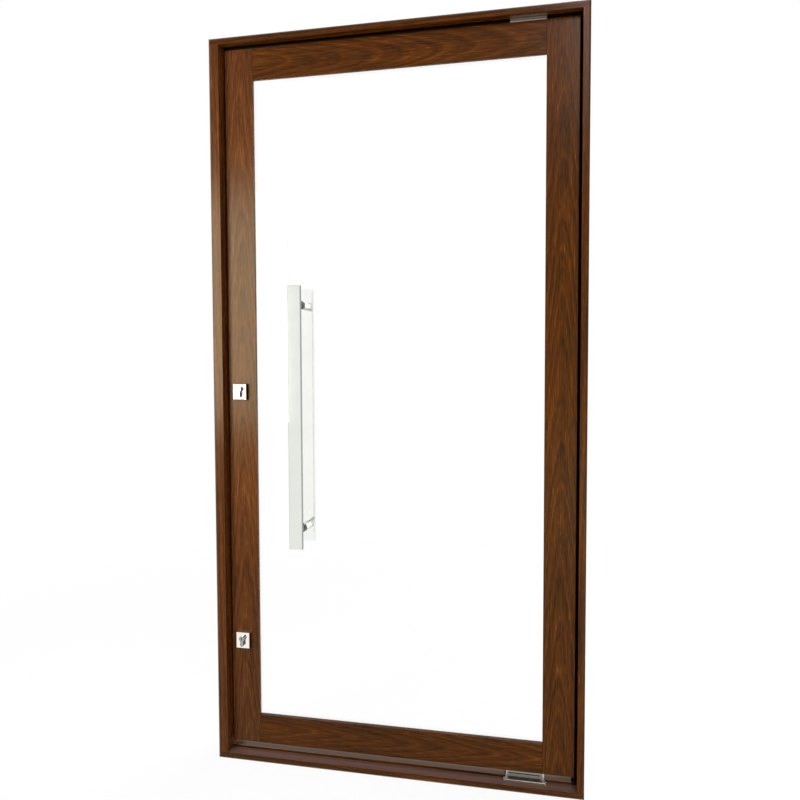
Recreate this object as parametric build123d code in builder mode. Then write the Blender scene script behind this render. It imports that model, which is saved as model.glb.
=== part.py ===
from build123d import *
import os

os.makedirs("parts", exist_ok=True)

# A glazed pivot door in its own frame, in millimetres.
# X runs to the right as seen from outside, Y away from the viewer and Z up.
# The origin is under the middle of the sill, in the leaf's centre plane.

# Frame: head and sill run full width, the jambs stand between them
FRAME_WIDTH = 1110.0
FRAME_HEIGHT = 2200.0
FRAME_DEPTH = 122.0
BOARD = 20.0  # head, sill and pivot jamb
LOCK_JAMB = 32.0  # thicker, because it holds the strikes
EDGE_CHAMFER = 5.0  # outer arris of the front
LEAF_SETBACK = 30.0  # leaf's face behind the frame's face

# Raised strips on the sill and under the head
STRIP_SETBACK = 40.0
STRIP_REAR_MARGIN = 10.0
SILL_STRIP = 8.0
HEAD_STRIP = 3.0
PAD_WIDTH = 15.0  # rubber end pads, and the stop above them
PAD_HEIGHT = 10.0
PAD_CEILING_HEIGHT = 5.0

# Stop behind the leaf's short side
STOP_DEPTH = 14.0
STOP_SEAL = 2.2
STOP_SEAL_WIDTH = 9.0
STOP_CLEARANCE = 0.3

# Leaf: stiles run full height, the rails are tenoned between them
LEAF_THICKNESS = 40.0
STILE_WIDTH = 90.0
TOP_RAIL_WIDTH = 94.0
BOTTOM_RAIL_WIDTH = 89.0
GAP_LOCK = 6.0
GAP_PIVOT = 7.0
GAP_TOP = 8.0
GAP_BOTTOM = 20.0
LEAF_EASE = 1.2
SHOULDER_EASE = 0.8
TENON_LENGTH = 45.0
TENON_THICKNESS = 12.0
TENON_HEIGHT = 48.0
TENON_CLEARANCE = 0.15
TENON_END_ROOM = 2.0

# Glazing
GLASS = 8.0
LIP = 8.0  # fixed lip in front of the glass
REBATE = 22.0
GASKET = 2.0
GASKET_SETBACK = 1.0
GASKET_WIDTH = 9.0
BEAD_WIDTH = 12.0
BEAD_SLOPE = 4.0
GLASS_EDGE_GAP = 4.0
BLOCK_LENGTH = 100.0
BLOCK_INSET = 90.0

# Brush seals let into the leaf's edges
BRUSH_GROOVE_WIDTH = 5.0
BRUSH_GROOVE_DEPTH = 4.0
BRUSH_FIT = 0.1
BRUSH_PILE = 2.4
BRUSH_OFFSET = 15.0  # behind the leaf's centre plane, clear of the locks
BRUSH_TIP_GAP = 0.5

# Pivots
PIVOT_INSET = 167.0  # axis from the frame's right side
PIN_RADIUS = 5.0
PIN_FLANGE_RADIUS = 9.0
PIN_FLANGE = 2.0
RUNNING_FIT = 0.06
SEAT_FIT = 0.05
BUSH_WALL = 3.0
BUSH_FLANGE_WALL = 5.0
BUSH_FLANGE = 1.5
BASE_PLATE = 5.0
BASE_PLATE_LENGTH = 124.0  # over its two ears
BASE_PLATE_DEPTH = 56.0
BASE_PLATE_CORNER = 4.0
BASE_EAR_DEPTH = 13.0
BASE_TONGUE_LENGTH = 112.0  # behind the ears, in the strip's notch
BASE_NOTCH_GAP = 1.5
TOP_PLATE = 5.0
TOP_PLATE_PROUD = 2.0
SHOE_LENGTH = 100.0
TOP_SHOE = 3.5
SHOE_WEB = 5.0
SHOE_SLOT = 3.0
SHOE_BAR = 8.0
SHOE_LEG = 5.0
SHOE_RUNNING_GAP = 1.0
THRUST_GAP = 0.1
TOP_PIN_REACH = 26.0
PLATE_SCREW_X = 50.0
PLATE_SCREW_Y = 20.0
SHOE_SCREW_X = 32.0

# Wood screws with countersunk heads
SCREW_RADIUS = 2.5
SCREW_HEAD_RADIUS = 4.8
SCREW_FIT = 0.05
BASE_SCREW = 20.0
TOP_PLATE_SCREW = 19.0
SHOE_SCREW = 30.0
CORNER_SCREW = 70.0
CORNER_SCREW_EDGE = 28.0
STRIKE_SCREW = 22.0
FACE_SCREW = 20.0

# Wall fixings, in the reveal behind the leaf
FIXING_RADIUS = 5.0
FIXING_FROM_REAR = 13.0
FIXING_FROM_END = 200.0
FIXING_COUNT = 4

# Locks: cylinder heights above the floor and backset from the leaf's edge
UPPER_LOCK_Z = 1153.0
LOWER_LOCK_Z = 380.0
BACKSET = 40.0
CYLINDER_RADIUS = 8.5
CYLINDER_WEB = 10.0
CYLINDER_DROP = 24.5
CYLINDER_PROUD = 10.0
PLUG_RADIUS = 6.5
CAM_RADIUS = 15.0
CAM_HUB_RADIUS = 7.5
CAM_NOSE_WIDTH = 7.0
CAM_WIDTH = 10.0
CAM_SIDE_GAP = 0.2
KEY_SLOT_WIDTH = 2.4
KEY_SLOT_HEIGHT = 9.0
KEY_SLOT_DEPTH = 20.0
ROSETTE_WIDTH = 44.0
ROSETTE_HEIGHT = 49.0
ROSETTE_DROP = 8.0  # its centre below the plug's axis
ROSETTE_THICKNESS = 12.0
ROSETTE_CHAMFER = 1.2
ROSETTE_FIT = 0.3
CASE_DEPTH = 55.0
CASE_THICKNESS = 15.0
CASE_WALL = 1.5
CASE_FIT = 0.25
CASE_BELOW = 30.0
UPPER_CASE_ABOVE = 92.0
LOWER_CASE_ABOVE = 58.0
FACEPLATE = 3.0
FACEPLATE_WIDTH = 20.0
FACEPLATE_MARGIN = 22.0
BOLT_HEIGHT = 28.0
BOLT_THICKNESS = 10.0
BOLT_LENGTH = 40.0
BOLT_THROW = 20.0
BOLT_RECESS = 0.5
BOLT_FIT = 0.3
CAM_TO_BOLT = 1.5
CATCH_Z = 72.0  # above the cylinder
CATCH_RADIUS = 5.0
CATCH_PROUD = 4.5
CATCH_LENGTH = 34.0
CATCH_NOSE = 3.0
CYLINDER_SCREW_RADIUS = 2.4
CYLINDER_SCREW_DROP = 20.0

# Strikes in the lock jamb
STRIKE_PLATE = 2.5
STRIKE_WIDTH = 24.0
STRIKE_MARGIN = 36.0
STRIKE_BOX_DEPTH = 22.0
STRIKE_BOX_WALL = 1.2
STRIKE_ROOM = 2.0  # round the bolt
CATCH_ROOM = 2.0

# Pull handle: one bar on each side of the glass
BAR_WIDTH = 40.0
BAR_THICKNESS = 12.0
BAR_LENGTH = 782.0
BAR_EASE = 0.8
BAR_CENTRE_X = -285.0
BAR_CENTRE_Z = 1068.0
POST_INSET = 52.5
POST_RADIUS = 12.5
STANDOFF = 50.0
WASHER = 1.5
STUD_RADIUS = 4.0
STUD_REACH = 20.0
GLASS_HOLE_RADIUS = 7.0
SLEEVE_FIT = 0.1

# Planes and lines worked out from the sizes above
LEFT = -FRAME_WIDTH / 2
RIGHT = FRAME_WIDTH / 2
FRONT = -(LEAF_SETBACK + LEAF_THICKNESS / 2)
REAR = FRONT + FRAME_DEPTH
MIDDLE = (FRONT + REAR) / 2
LOCK_FACE = LEFT + LOCK_JAMB
PIVOT_FACE = RIGHT - BOARD
SILL_TOP = BOARD
HEAD_UNDERSIDE = FRAME_HEIGHT - BOARD
SILL_STRIP_TOP = SILL_TOP + SILL_STRIP
BASE_PLATE_TOP = SILL_TOP + BASE_PLATE
HEAD_STRIP_UNDERSIDE = HEAD_UNDERSIDE - HEAD_STRIP
STRIP_FRONT = FRONT + STRIP_SETBACK
STRIP_REAR = REAR - STRIP_REAR_MARGIN
STRIP_END = PIVOT_FACE - PAD_WIDTH

LEAF_LEFT = LOCK_FACE + GAP_LOCK
LEAF_RIGHT = PIVOT_FACE - GAP_PIVOT
LEAF_BOTTOM = SILL_STRIP_TOP + GAP_BOTTOM
LEAF_TOP = HEAD_UNDERSIDE - GAP_TOP
LEAF_FACE = -LEAF_THICKNESS / 2
LEAF_BACK = LEAF_THICKNESS / 2
OPEN_LEFT = LEAF_LEFT + STILE_WIDTH
OPEN_RIGHT = LEAF_RIGHT - STILE_WIDTH
OPEN_BOTTOM = LEAF_BOTTOM + BOTTOM_RAIL_WIDTH
OPEN_TOP = LEAF_TOP - TOP_RAIL_WIDTH
LIP_BACK = LEAF_FACE + LIP
GLASS_FRONT = LIP_BACK + GASKET
GLASS_BACK = GLASS_FRONT + GLASS
BEAD_FRONT = GLASS_BACK + GASKET

PIVOT_X = RIGHT - PIVOT_INSET
BUSH_RADIUS = PIN_RADIUS + BUSH_WALL
BUSH_FLANGE_RADIUS = PIN_RADIUS + BUSH_FLANGE_WALL
SHOE_BOTTOM = SILL_STRIP_TOP + SHOE_RUNNING_GAP
TOP_PLATE_UNDERSIDE = HEAD_UNDERSIDE - TOP_PLATE_PROUD
TOP_SHOE_TOP = LEAF_TOP + TOP_SHOE

LOCK_X = LEAF_LEFT + BACKSET
CASE_LEFT = LEAF_LEFT + FACEPLATE
CASE_RIGHT = CASE_LEFT + CASE_DEPTH
CYLINDER_HALF = LEAF_THICKNESS / 2 + ROSETTE_THICKNESS + CYLINDER_PROUD
BOLT_BOTTOM = CAM_RADIUS + CAM_TO_BOLT
BOLT_MIDDLE = BOLT_BOTTOM + BOLT_HEIGHT / 2
SCREW_HEAD = SCREW_HEAD_RADIUS - SCREW_RADIUS

CORNER_SCREW_SPOTS = [
    (x, y)
    for x in (LEFT + LOCK_JAMB / 2, RIGHT - BOARD / 2)
    for y in (FRONT + CORNER_SCREW_EDGE, REAR - CORNER_SCREW_EDGE)
]
PLATE_SCREW_SPOTS = [
    (PIVOT_X + side * PLATE_SCREW_X, edge * PLATE_SCREW_Y)
    for side in (-1, 1)
    for edge in (-1, 1)
]
SHOE_SCREW_SPOTS = [(PIVOT_X + side * SHOE_SCREW_X, 0) for side in (-1, 1)]
FIXING_SPACING = (FRAME_HEIGHT - 2 * FIXING_FROM_END) / (FIXING_COUNT - 1)
FIXING_HEIGHTS = [FIXING_FROM_END + FIXING_SPACING * n for n in range(FIXING_COUNT)]
POST_HEIGHTS = [
    BAR_CENTRE_Z + side * (BAR_LENGTH / 2 - POST_INSET) for side in (-1, 1)
]


class Lock:
    """One mortise lock: its height, how far its case rises and whether it has a catch."""

    def __init__(self, height, above, has_catch):
        self.height = height
        self.case_bottom = height - CASE_BELOW
        self.case_top = height + above
        self.has_catch = has_catch
        self.bolt_z = height + BOLT_MIDDLE
        self.catch_z = height + CATCH_Z
        self.strike_top = (self.catch_z if has_catch else self.bolt_z) + STRIKE_MARGIN
        self.strike_bottom = self.bolt_z - STRIKE_MARGIN
        self.faceplate_bottom = self.case_bottom - FACEPLATE_MARGIN
        self.faceplate_top = self.case_top + FACEPLATE_MARGIN


upper_lock = Lock(UPPER_LOCK_Z, UPPER_CASE_ABOVE, True)
lower_lock = Lock(LOWER_LOCK_Z, LOWER_CASE_ABOVE, False)
LOCKS = (upper_lock, lower_lock)


def facing_left(x, y, z):
    """A plane at a point, looking towards -X, with its own x along +Y."""
    return Plane(origin=(x, y, z), x_dir=(0, 1, 0), z_dir=(-1, 0, 0))


def facing_right(x, y, z):
    """A plane at a point, looking towards +X, with its own x along +Y."""
    return Plane(origin=(x, y, z), x_dir=(0, 1, 0), z_dir=(1, 0, 0))


def facing_down(x, y, z):
    """A plane at a point, looking towards -Z, with its own x along +X."""
    return Plane(origin=(x, y, z), x_dir=(1, 0, 0), z_dir=(0, 0, -1))


def finish(piece, name):
    """Labels a finished piece and writes it."""
    piece.part.label = name
    export_step(piece.part, f"parts/{name}.step")


def wood_screw(length):
    """A countersunk screw, its head's top at the origin and its shank down -Z."""
    with BuildPart() as screw:
        with BuildSketch(Plane.XZ):
            with BuildLine():
                Polyline(
                    (0, 0),
                    (SCREW_HEAD_RADIUS, 0),
                    (SCREW_RADIUS, -SCREW_HEAD),
                    (SCREW_RADIUS, -length),
                    (0, -length),
                    close=True,
                )
            make_face()
        revolve(axis=Axis.Z)
    return screw.part


def screw_holes(planes, length):
    """Cuts a countersunk hole for a screw of this length at each plane."""
    with Locations(*planes):
        CounterSinkHole(
            radius=SCREW_RADIUS + SCREW_FIT,
            counter_sink_radius=SCREW_HEAD_RADIUS + SCREW_FIT,
            depth=length,
            counter_sink_angle=90,
        )


def pilot_holes(planes, depth):
    """Cuts a plain hole that a screw's shank runs in."""
    with Locations(*planes):
        Hole(radius=SCREW_RADIUS + SCREW_FIT, depth=depth)


def euro_profile(grow=0.0):
    """The keyhole outline of a profile cylinder, drawn at the sketch's origin."""
    Circle(CYLINDER_RADIUS + grow)
    foot = CYLINDER_DROP - CYLINDER_WEB / 2
    with Locations((0, -foot / 2)):
        Rectangle(CYLINDER_WEB + 2 * grow, foot)
    with Locations((0, -foot)):
        Circle(CYLINDER_WEB / 2 + grow)


# Head board, with the top pivot let into its underside
with BuildPart() as frame_head:
    with BuildSketch(Plane.XY.offset(HEAD_UNDERSIDE)):
        with Locations((0, MIDDLE)):
            Rectangle(FRAME_WIDTH, FRAME_DEPTH)
    extrude(amount=BOARD)
    front = frame_head.faces().sort_by(Axis.Y)[0]
    chamfer(front.edges().sort_by(Axis.Z)[1:], EDGE_CHAMFER)
    with BuildSketch(Plane.XY.offset(HEAD_UNDERSIDE)):
        with Locations((PIVOT_X, 0)):
            Rectangle(SHOE_LENGTH + 2 * SCREW_FIT, LEAF_THICKNESS + 2 * SCREW_FIT)
    extrude(amount=TOP_PLATE - TOP_PLATE_PROUD, mode=Mode.SUBTRACT)
    with BuildSketch(Plane.XY.offset(HEAD_UNDERSIDE)):
        with Locations((PIVOT_X, 0)):
            Circle(PIN_FLANGE_RADIUS + SEAT_FIT)
    extrude(amount=TOP_PLATE - TOP_PLATE_PROUD + PIN_FLANGE + SEAT_FIT, mode=Mode.SUBTRACT)
    screw_holes([(x, y, FRAME_HEIGHT) for x, y in CORNER_SCREW_SPOTS], BOARD)
    pilot_holes(
        [facing_down(x, y, TOP_PLATE_UNDERSIDE) for x, y in SHOE_SCREW_SPOTS],
        TOP_PLATE_SCREW,
    )
finish(frame_head, "frame_head")

# Sill board
with BuildPart() as frame_sill:
    with BuildSketch():
        with Locations((0, MIDDLE)):
            Rectangle(FRAME_WIDTH, FRAME_DEPTH)
    extrude(amount=BOARD)
    front = frame_sill.faces().sort_by(Axis.Y)[0]
    chamfer(front.edges().sort_by(Axis.Z)[:-1], EDGE_CHAMFER)
    screw_holes([facing_down(x, y, 0) for x, y in CORNER_SCREW_SPOTS], BOARD)
    pilot_holes([(x, y, SILL_TOP) for x, y in PLATE_SCREW_SPOTS], BASE_SCREW - BASE_PLATE)
finish(frame_sill, "frame_sill")

# Lock jamb, with a pocket behind each strike
with BuildPart() as frame_jamb_left:
    with BuildSketch(Plane.XY.offset(SILL_TOP)):
        with Locations(((LEFT + LOCK_FACE) / 2, MIDDLE)):
            Rectangle(LOCK_JAMB, FRAME_DEPTH)
    extrude(amount=HEAD_UNDERSIDE - SILL_TOP)
    front = frame_jamb_left.faces().sort_by(Axis.Y)[0]
    chamfer(front.edges().sort_by(Axis.X)[0], EDGE_CHAMFER)
    for lock in LOCKS:
        strike_height = lock.strike_top - lock.strike_bottom
        strike_middle = (lock.strike_top + lock.strike_bottom) / 2
        with BuildSketch(facing_left(LOCK_FACE, 0, strike_middle)):
            Rectangle(STRIKE_WIDTH + 2 * SCREW_FIT, strike_height + 2 * SCREW_FIT)
        extrude(amount=STRIKE_PLATE, mode=Mode.SUBTRACT)
        box_room = 2 * (STRIKE_ROOM + STRIKE_BOX_WALL + SCREW_FIT)
        with BuildSketch(facing_left(LOCK_FACE - STRIKE_PLATE, 0, lock.bolt_z)):
            Rectangle(BOLT_THICKNESS + box_room, BOLT_HEIGHT + box_room)
        extrude(amount=STRIKE_BOX_DEPTH + STRIKE_BOX_WALL, mode=Mode.SUBTRACT)
        strike_screw_spots = [
            facing_right(LOCK_FACE, 0, z)
            for z in (
                lock.strike_bottom + 2 * SCREW_HEAD_RADIUS,
                lock.strike_top - 2 * SCREW_HEAD_RADIUS,
            )
        ]
        pilot_holes(strike_screw_spots, STRIKE_SCREW)
    with Locations(facing_right(LOCK_FACE, 0, upper_lock.catch_z)):
        Hole(radius=CATCH_RADIUS + CATCH_ROOM, depth=STRIKE_PLATE + CATCH_PROUD)
    with Locations(*[facing_right(LOCK_FACE, REAR - FIXING_FROM_REAR, z) for z in FIXING_HEIGHTS]):
        Hole(radius=FIXING_RADIUS, depth=LOCK_JAMB)
    pilot_holes([(x, y, FRAME_HEIGHT) for x, y in CORNER_SCREW_SPOTS[:2]], CORNER_SCREW)
    pilot_holes([facing_down(x, y, 0) for x, y in CORNER_SCREW_SPOTS[:2]], CORNER_SCREW)
finish(frame_jamb_left, "frame_jamb_left")

# Pivot jamb
with BuildPart() as frame_jamb_right:
    with BuildSketch(Plane.XY.offset(SILL_TOP)):
        with Locations(((RIGHT + PIVOT_FACE) / 2, MIDDLE)):
            Rectangle(BOARD, FRAME_DEPTH)
    extrude(amount=HEAD_UNDERSIDE - SILL_TOP)
    front = frame_jamb_right.faces().sort_by(Axis.Y)[0]
    chamfer(front.edges().sort_by(Axis.X)[-1], EDGE_CHAMFER)
    with Locations(*[facing_left(PIVOT_FACE, REAR - FIXING_FROM_REAR, z) for z in FIXING_HEIGHTS]):
        Hole(radius=FIXING_RADIUS, depth=BOARD)
    pilot_holes([(x, y, FRAME_HEIGHT) for x, y in CORNER_SCREW_SPOTS[2:]], CORNER_SCREW)
    pilot_holes([facing_down(x, y, 0) for x, y in CORNER_SCREW_SPOTS[2:]], CORNER_SCREW)
finish(frame_jamb_right, "frame_jamb_right")

# Raised strip on the sill, notched round the bottom pivot plate
STRIP_MIDDLE = ((LOCK_FACE + STRIP_END) / 2, (STRIP_FRONT + STRIP_REAR) / 2)
with BuildPart() as threshold_strip:
    with BuildSketch(Plane.XY.offset(SILL_TOP)):
        with Locations(STRIP_MIDDLE):
            Rectangle(STRIP_END - LOCK_FACE, STRIP_REAR - STRIP_FRONT)
        with Locations((PIVOT_X, 0)):
            Rectangle(
                BASE_TONGUE_LENGTH + 2 * BASE_NOTCH_GAP,
                BASE_PLATE_DEPTH + 2 * SCREW_FIT,
                mode=Mode.SUBTRACT,
            )
    extrude(amount=SILL_STRIP)
    upper_front = threshold_strip.edges().filter_by(Axis.X).group_by(Axis.Z)[-1]
    chamfer(upper_front.group_by(Axis.Y)[0], LEAF_EASE)
finish(threshold_strip, "threshold_strip")

# Thinner strip under the head, notched round the top pivot plate
with BuildPart() as head_strip:
    with BuildSketch(Plane.XY.offset(HEAD_STRIP_UNDERSIDE)):
        with Locations(STRIP_MIDDLE):
            Rectangle(STRIP_END - LOCK_FACE, STRIP_REAR - STRIP_FRONT)
        with Locations((PIVOT_X, 0)):
            Rectangle(
                SHOE_LENGTH + 2 * SCREW_FIT,
                LEAF_THICKNESS + 2 * SCREW_FIT,
                mode=Mode.SUBTRACT,
            )
    extrude(amount=HEAD_STRIP)
finish(head_strip, "head_strip")

# Stop that the leaf's short side closes against, with its rubber seal
STOP_FRONT = LEAF_BACK + STOP_CLEARANCE + STOP_SEAL
with BuildPart() as jamb_stop:
    with BuildSketch(Plane.XY.offset(SILL_TOP)):
        with Locations((PIVOT_FACE - PAD_WIDTH / 2, STOP_FRONT + STOP_DEPTH / 2)):
            Rectangle(PAD_WIDTH, STOP_DEPTH)
    extrude(amount=HEAD_UNDERSIDE - SILL_TOP)
    inner = jamb_stop.edges().filter_by(Axis.Z).group_by(Axis.X)[0]
    chamfer(inner.sort_by(Axis.Y)[-1], LEAF_EASE)
finish(jamb_stop, "jamb_stop")

with BuildPart() as stop_seal:
    with BuildSketch(Plane.XY.offset(SILL_TOP)):
        with Locations((PIVOT_FACE - PAD_WIDTH + STOP_SEAL_WIDTH / 2, STOP_FRONT - STOP_SEAL / 2)):
            Rectangle(STOP_SEAL_WIDTH, STOP_SEAL)
    extrude(amount=HEAD_UNDERSIDE - SILL_TOP)
    fillet(stop_seal.edges().filter_by(Axis.Z).group_by(Axis.Y)[0], STOP_SEAL / 3)
finish(stop_seal, "stop_seal")

# Rubber pads that close the ends of the two strips beside the pivot jamb
PAD_DEPTH = LEAF_BACK - STRIP_FRONT
with BuildPart() as end_pads:
    for base, height in (
        (SILL_TOP, PAD_HEIGHT),
        (HEAD_UNDERSIDE - PAD_CEILING_HEIGHT, PAD_CEILING_HEIGHT),
    ):
        with BuildSketch(Plane.XY.offset(base)):
            with Locations((PIVOT_FACE - PAD_WIDTH / 2, STRIP_FRONT + PAD_DEPTH / 2)):
                Rectangle(PAD_WIDTH, PAD_DEPTH)
        extrude(amount=height)
finish(end_pads, "end_pads")

# Screws through head and sill into the jambs
corner_screw = wood_screw(CORNER_SCREW)
with BuildPart() as corner_screws:
    for x, y in CORNER_SCREW_SPOTS:
        with Locations((x, y, FRAME_HEIGHT), facing_down(x, y, 0)):
            add(corner_screw)
finish(corner_screws, "corner_screws")

# Bottom pivot: plate on the sill with an ear at each front corner, and a flanged pin in it
with BuildPart() as bottom_pivot_plate:
    with BuildSketch(Plane.XY.offset(SILL_TOP)):
        with Locations((PIVOT_X, (BASE_EAR_DEPTH - BASE_PLATE_DEPTH) / 2)):
            RectangleRounded(BASE_PLATE_LENGTH, BASE_EAR_DEPTH, BASE_PLATE_CORNER)
        with Locations((PIVOT_X, 0)):
            Rectangle(BASE_TONGUE_LENGTH, BASE_PLATE_DEPTH)
            Circle(PIN_RADIUS + SEAT_FIT, mode=Mode.SUBTRACT)
    extrude(amount=BASE_PLATE)
    with BuildSketch(Plane.XY.offset(SILL_TOP)):
        with Locations((PIVOT_X, 0)):
            Circle(PIN_FLANGE_RADIUS + SEAT_FIT)
    extrude(amount=PIN_FLANGE + SEAT_FIT, mode=Mode.SUBTRACT)
    screw_holes([(x, y, BASE_PLATE_TOP) for x, y in PLATE_SCREW_SPOTS], BASE_PLATE)
    chamfer(bottom_pivot_plate.faces().sort_by(Axis.Z)[-1].outer_wire().edges(), SHOULDER_EASE)
finish(bottom_pivot_plate, "bottom_pivot_plate")

# Bottom shoe under the leaf: a web, a slot, a bar bored for the bush and two end legs
BAR_TOP = LEAF_BOTTOM - SHOE_WEB - SHOE_SLOT
BAR_BOTTOM = BAR_TOP - SHOE_BAR
with BuildPart() as bottom_shoe:
    with BuildSketch(Plane.XZ.offset(-LEAF_BACK)):
        with Locations((PIVOT_X, (LEAF_BOTTOM + SHOE_BOTTOM) / 2)):
            Rectangle(SHOE_LENGTH, LEAF_BOTTOM - SHOE_BOTTOM)
        with Locations((PIVOT_X, BAR_TOP + SHOE_SLOT / 2)):
            Rectangle(SHOE_LENGTH - 2 * SHOE_LEG, SHOE_SLOT, mode=Mode.SUBTRACT)
        with Locations((PIVOT_X, (BAR_BOTTOM + SHOE_BOTTOM) / 2)):
            Rectangle(SHOE_LENGTH - 2 * SHOE_LEG, BAR_BOTTOM - SHOE_BOTTOM, mode=Mode.SUBTRACT)
    extrude(amount=LEAF_THICKNESS)
    with Locations((PIVOT_X, 0, BAR_TOP)):
        Hole(radius=BUSH_RADIUS + SEAT_FIT, depth=SHOE_BAR)
    with Locations(*[facing_down(x, y, BAR_BOTTOM) for x, y in SHOE_SCREW_SPOTS]):
        Hole(radius=SCREW_HEAD_RADIUS + 2 * SCREW_FIT, depth=SHOE_BAR)
    screw_holes(
        [facing_down(x, y, LEAF_BOTTOM - SHOE_WEB) for x, y in SHOE_SCREW_SPOTS], SHOE_WEB
    )
finish(bottom_shoe, "bottom_shoe")

# Top pivot: plate let into the head, and the pin that drops into the leaf
with BuildPart() as top_pivot_plate:
    with BuildSketch(Plane.XY.offset(TOP_PLATE_UNDERSIDE)):
        with Locations((PIVOT_X, 0)):
            Rectangle(SHOE_LENGTH, LEAF_THICKNESS)
            Circle(PIN_RADIUS + SEAT_FIT, mode=Mode.SUBTRACT)
    extrude(amount=TOP_PLATE)
    screw_holes(
        [facing_down(x, y, TOP_PLATE_UNDERSIDE) for x, y in SHOE_SCREW_SPOTS], TOP_PLATE
    )
finish(top_pivot_plate, "top_pivot_plate")

with BuildPart() as top_shoe:
    with BuildSketch(Plane.XY.offset(LEAF_TOP)):
        with Locations((PIVOT_X, 0)):
            Rectangle(SHOE_LENGTH, LEAF_THICKNESS)
            Circle(BUSH_RADIUS + SEAT_FIT, mode=Mode.SUBTRACT)
    extrude(amount=TOP_SHOE)
    screw_holes([(x, y, TOP_SHOE_TOP) for x, y in SHOE_SCREW_SPOTS], TOP_SHOE)
finish(top_shoe, "top_shoe")

# Flanged pins: the bottom one's top carries the leaf, the top one hangs from the head plate
BOTTOM_PIN_TOP = LEAF_BOTTOM - SHOE_WEB - THRUST_GAP
TOP_PIN_BOTTOM = LEAF_TOP - TOP_PIN_REACH
TOP_PIN_TOP = TOP_PLATE_UNDERSIDE + TOP_PLATE
with BuildPart() as pivot_pins:
    with BuildSketch(Plane.XY.offset(SILL_TOP)):
        with Locations((PIVOT_X, 0)):
            Circle(PIN_RADIUS)
    extrude(amount=BOTTOM_PIN_TOP - SILL_TOP)
    with BuildSketch(Plane.XY.offset(TOP_PIN_BOTTOM)):
        with Locations((PIVOT_X, 0)):
            Circle(PIN_RADIUS)
    extrude(amount=TOP_PIN_TOP - TOP_PIN_BOTTOM)
    for base in (SILL_TOP, TOP_PIN_TOP):
        with BuildSketch(Plane.XY.offset(base)):
            with Locations((PIVOT_X, 0)):
                Circle(PIN_FLANGE_RADIUS)
        extrude(amount=PIN_FLANGE)
    tips = pivot_pins.edges().filter_by_position(Axis.Z, BOTTOM_PIN_TOP, TOP_PIN_BOTTOM)
    chamfer(tips, SHOULDER_EASE)
finish(pivot_pins, "pivot_pins")

# Flanged bronze bushes: one in the shoe's bar below, one in the top rail
with BuildPart() as pivot_bushes:
    for base, flange_base, top in (
        (BAR_BOTTOM, BAR_TOP, BAR_TOP + BUSH_FLANGE),
        (TOP_PIN_BOTTOM, TOP_SHOE_TOP, TOP_SHOE_TOP + BUSH_FLANGE),
    ):
        with BuildSketch(Plane.XY.offset(base)):
            with Locations((PIVOT_X, 0)):
                Circle(BUSH_RADIUS)
        extrude(amount=top - base)
        with BuildSketch(Plane.XY.offset(flange_base)):
            with Locations((PIVOT_X, 0)):
                Circle(BUSH_FLANGE_RADIUS)
        extrude(amount=top - flange_base)
        with Locations((PIVOT_X, 0, top)):
            Hole(radius=PIN_RADIUS + RUNNING_FIT, depth=top - base)
finish(pivot_bushes, "pivot_bushes")

# Screws of the pivot plates, in the frame
base_screw = wood_screw(BASE_SCREW)
top_plate_screw = wood_screw(TOP_PLATE_SCREW)
with BuildPart() as pivot_plate_screws:
    with Locations(*[(x, y, BASE_PLATE_TOP) for x, y in PLATE_SCREW_SPOTS]):
        add(base_screw)
    with Locations(*[facing_down(x, y, TOP_PLATE_UNDERSIDE) for x, y in SHOE_SCREW_SPOTS]):
        add(top_plate_screw)
finish(pivot_plate_screws, "pivot_plate_screws")

# Screws of the two shoes, in the leaf
shoe_screw = wood_screw(SHOE_SCREW)
with BuildPart() as shoe_screws:
    for x, y in SHOE_SCREW_SPOTS:
        with Locations((x, y, TOP_SHOE_TOP), facing_down(x, y, LEAF_BOTTOM - SHOE_WEB)):
            add(shoe_screw)
finish(shoe_screws, "shoe_screws")


def stile(outer, inner):
    """Section of a stile between its outer edge and the glass opening, with its rebate."""
    inward = 1 if inner > outer else -1
    with BuildSketch(Plane.XY.offset(LEAF_BOTTOM)) as section:
        with BuildLine():
            Polyline(
                (outer, LEAF_FACE),
                (inner, LEAF_FACE),
                (inner, LIP_BACK),
                (inner - inward * REBATE, LIP_BACK),
                (inner - inward * REBATE, LEAF_BACK),
                (outer, LEAF_BACK),
                close=True,
            )
        make_face()
    extrude(section.sketch, amount=LEAF_TOP - LEAF_BOTTOM)


TENON_Y = (LIP_BACK + LEAF_BACK) / 2
TENON_HEIGHTS = [
    LEAF_BOTTOM + (BOTTOM_RAIL_WIDTH - REBATE) / 2,
    LEAF_TOP - (TOP_RAIL_WIDTH - REBATE) / 2,
]


def mortises(plane_at, wall):
    """Cuts the two mortises that take the rails' tenons, from a stile's rebate wall."""
    for z in TENON_HEIGHTS:
        with BuildSketch(plane_at(wall, TENON_Y, z)) as section:
            Rectangle(TENON_THICKNESS + 2 * TENON_CLEARANCE, TENON_HEIGHT + 2 * TENON_CLEARANCE)
        extrude(section.sketch, amount=TENON_LENGTH + TENON_END_ROOM, mode=Mode.SUBTRACT)


def edge_groove(plane, length):
    """Cuts a brush groove of this length across a plane that looks into the leaf."""
    with BuildSketch(plane) as section:
        Rectangle(BRUSH_GROOVE_WIDTH, length)
    extrude(section.sketch, amount=BRUSH_GROOVE_DEPTH, mode=Mode.SUBTRACT)


LEAF_HEIGHT = LEAF_TOP - LEAF_BOTTOM
LEAF_MIDDLE_Z = (LEAF_TOP + LEAF_BOTTOM) / 2

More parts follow.
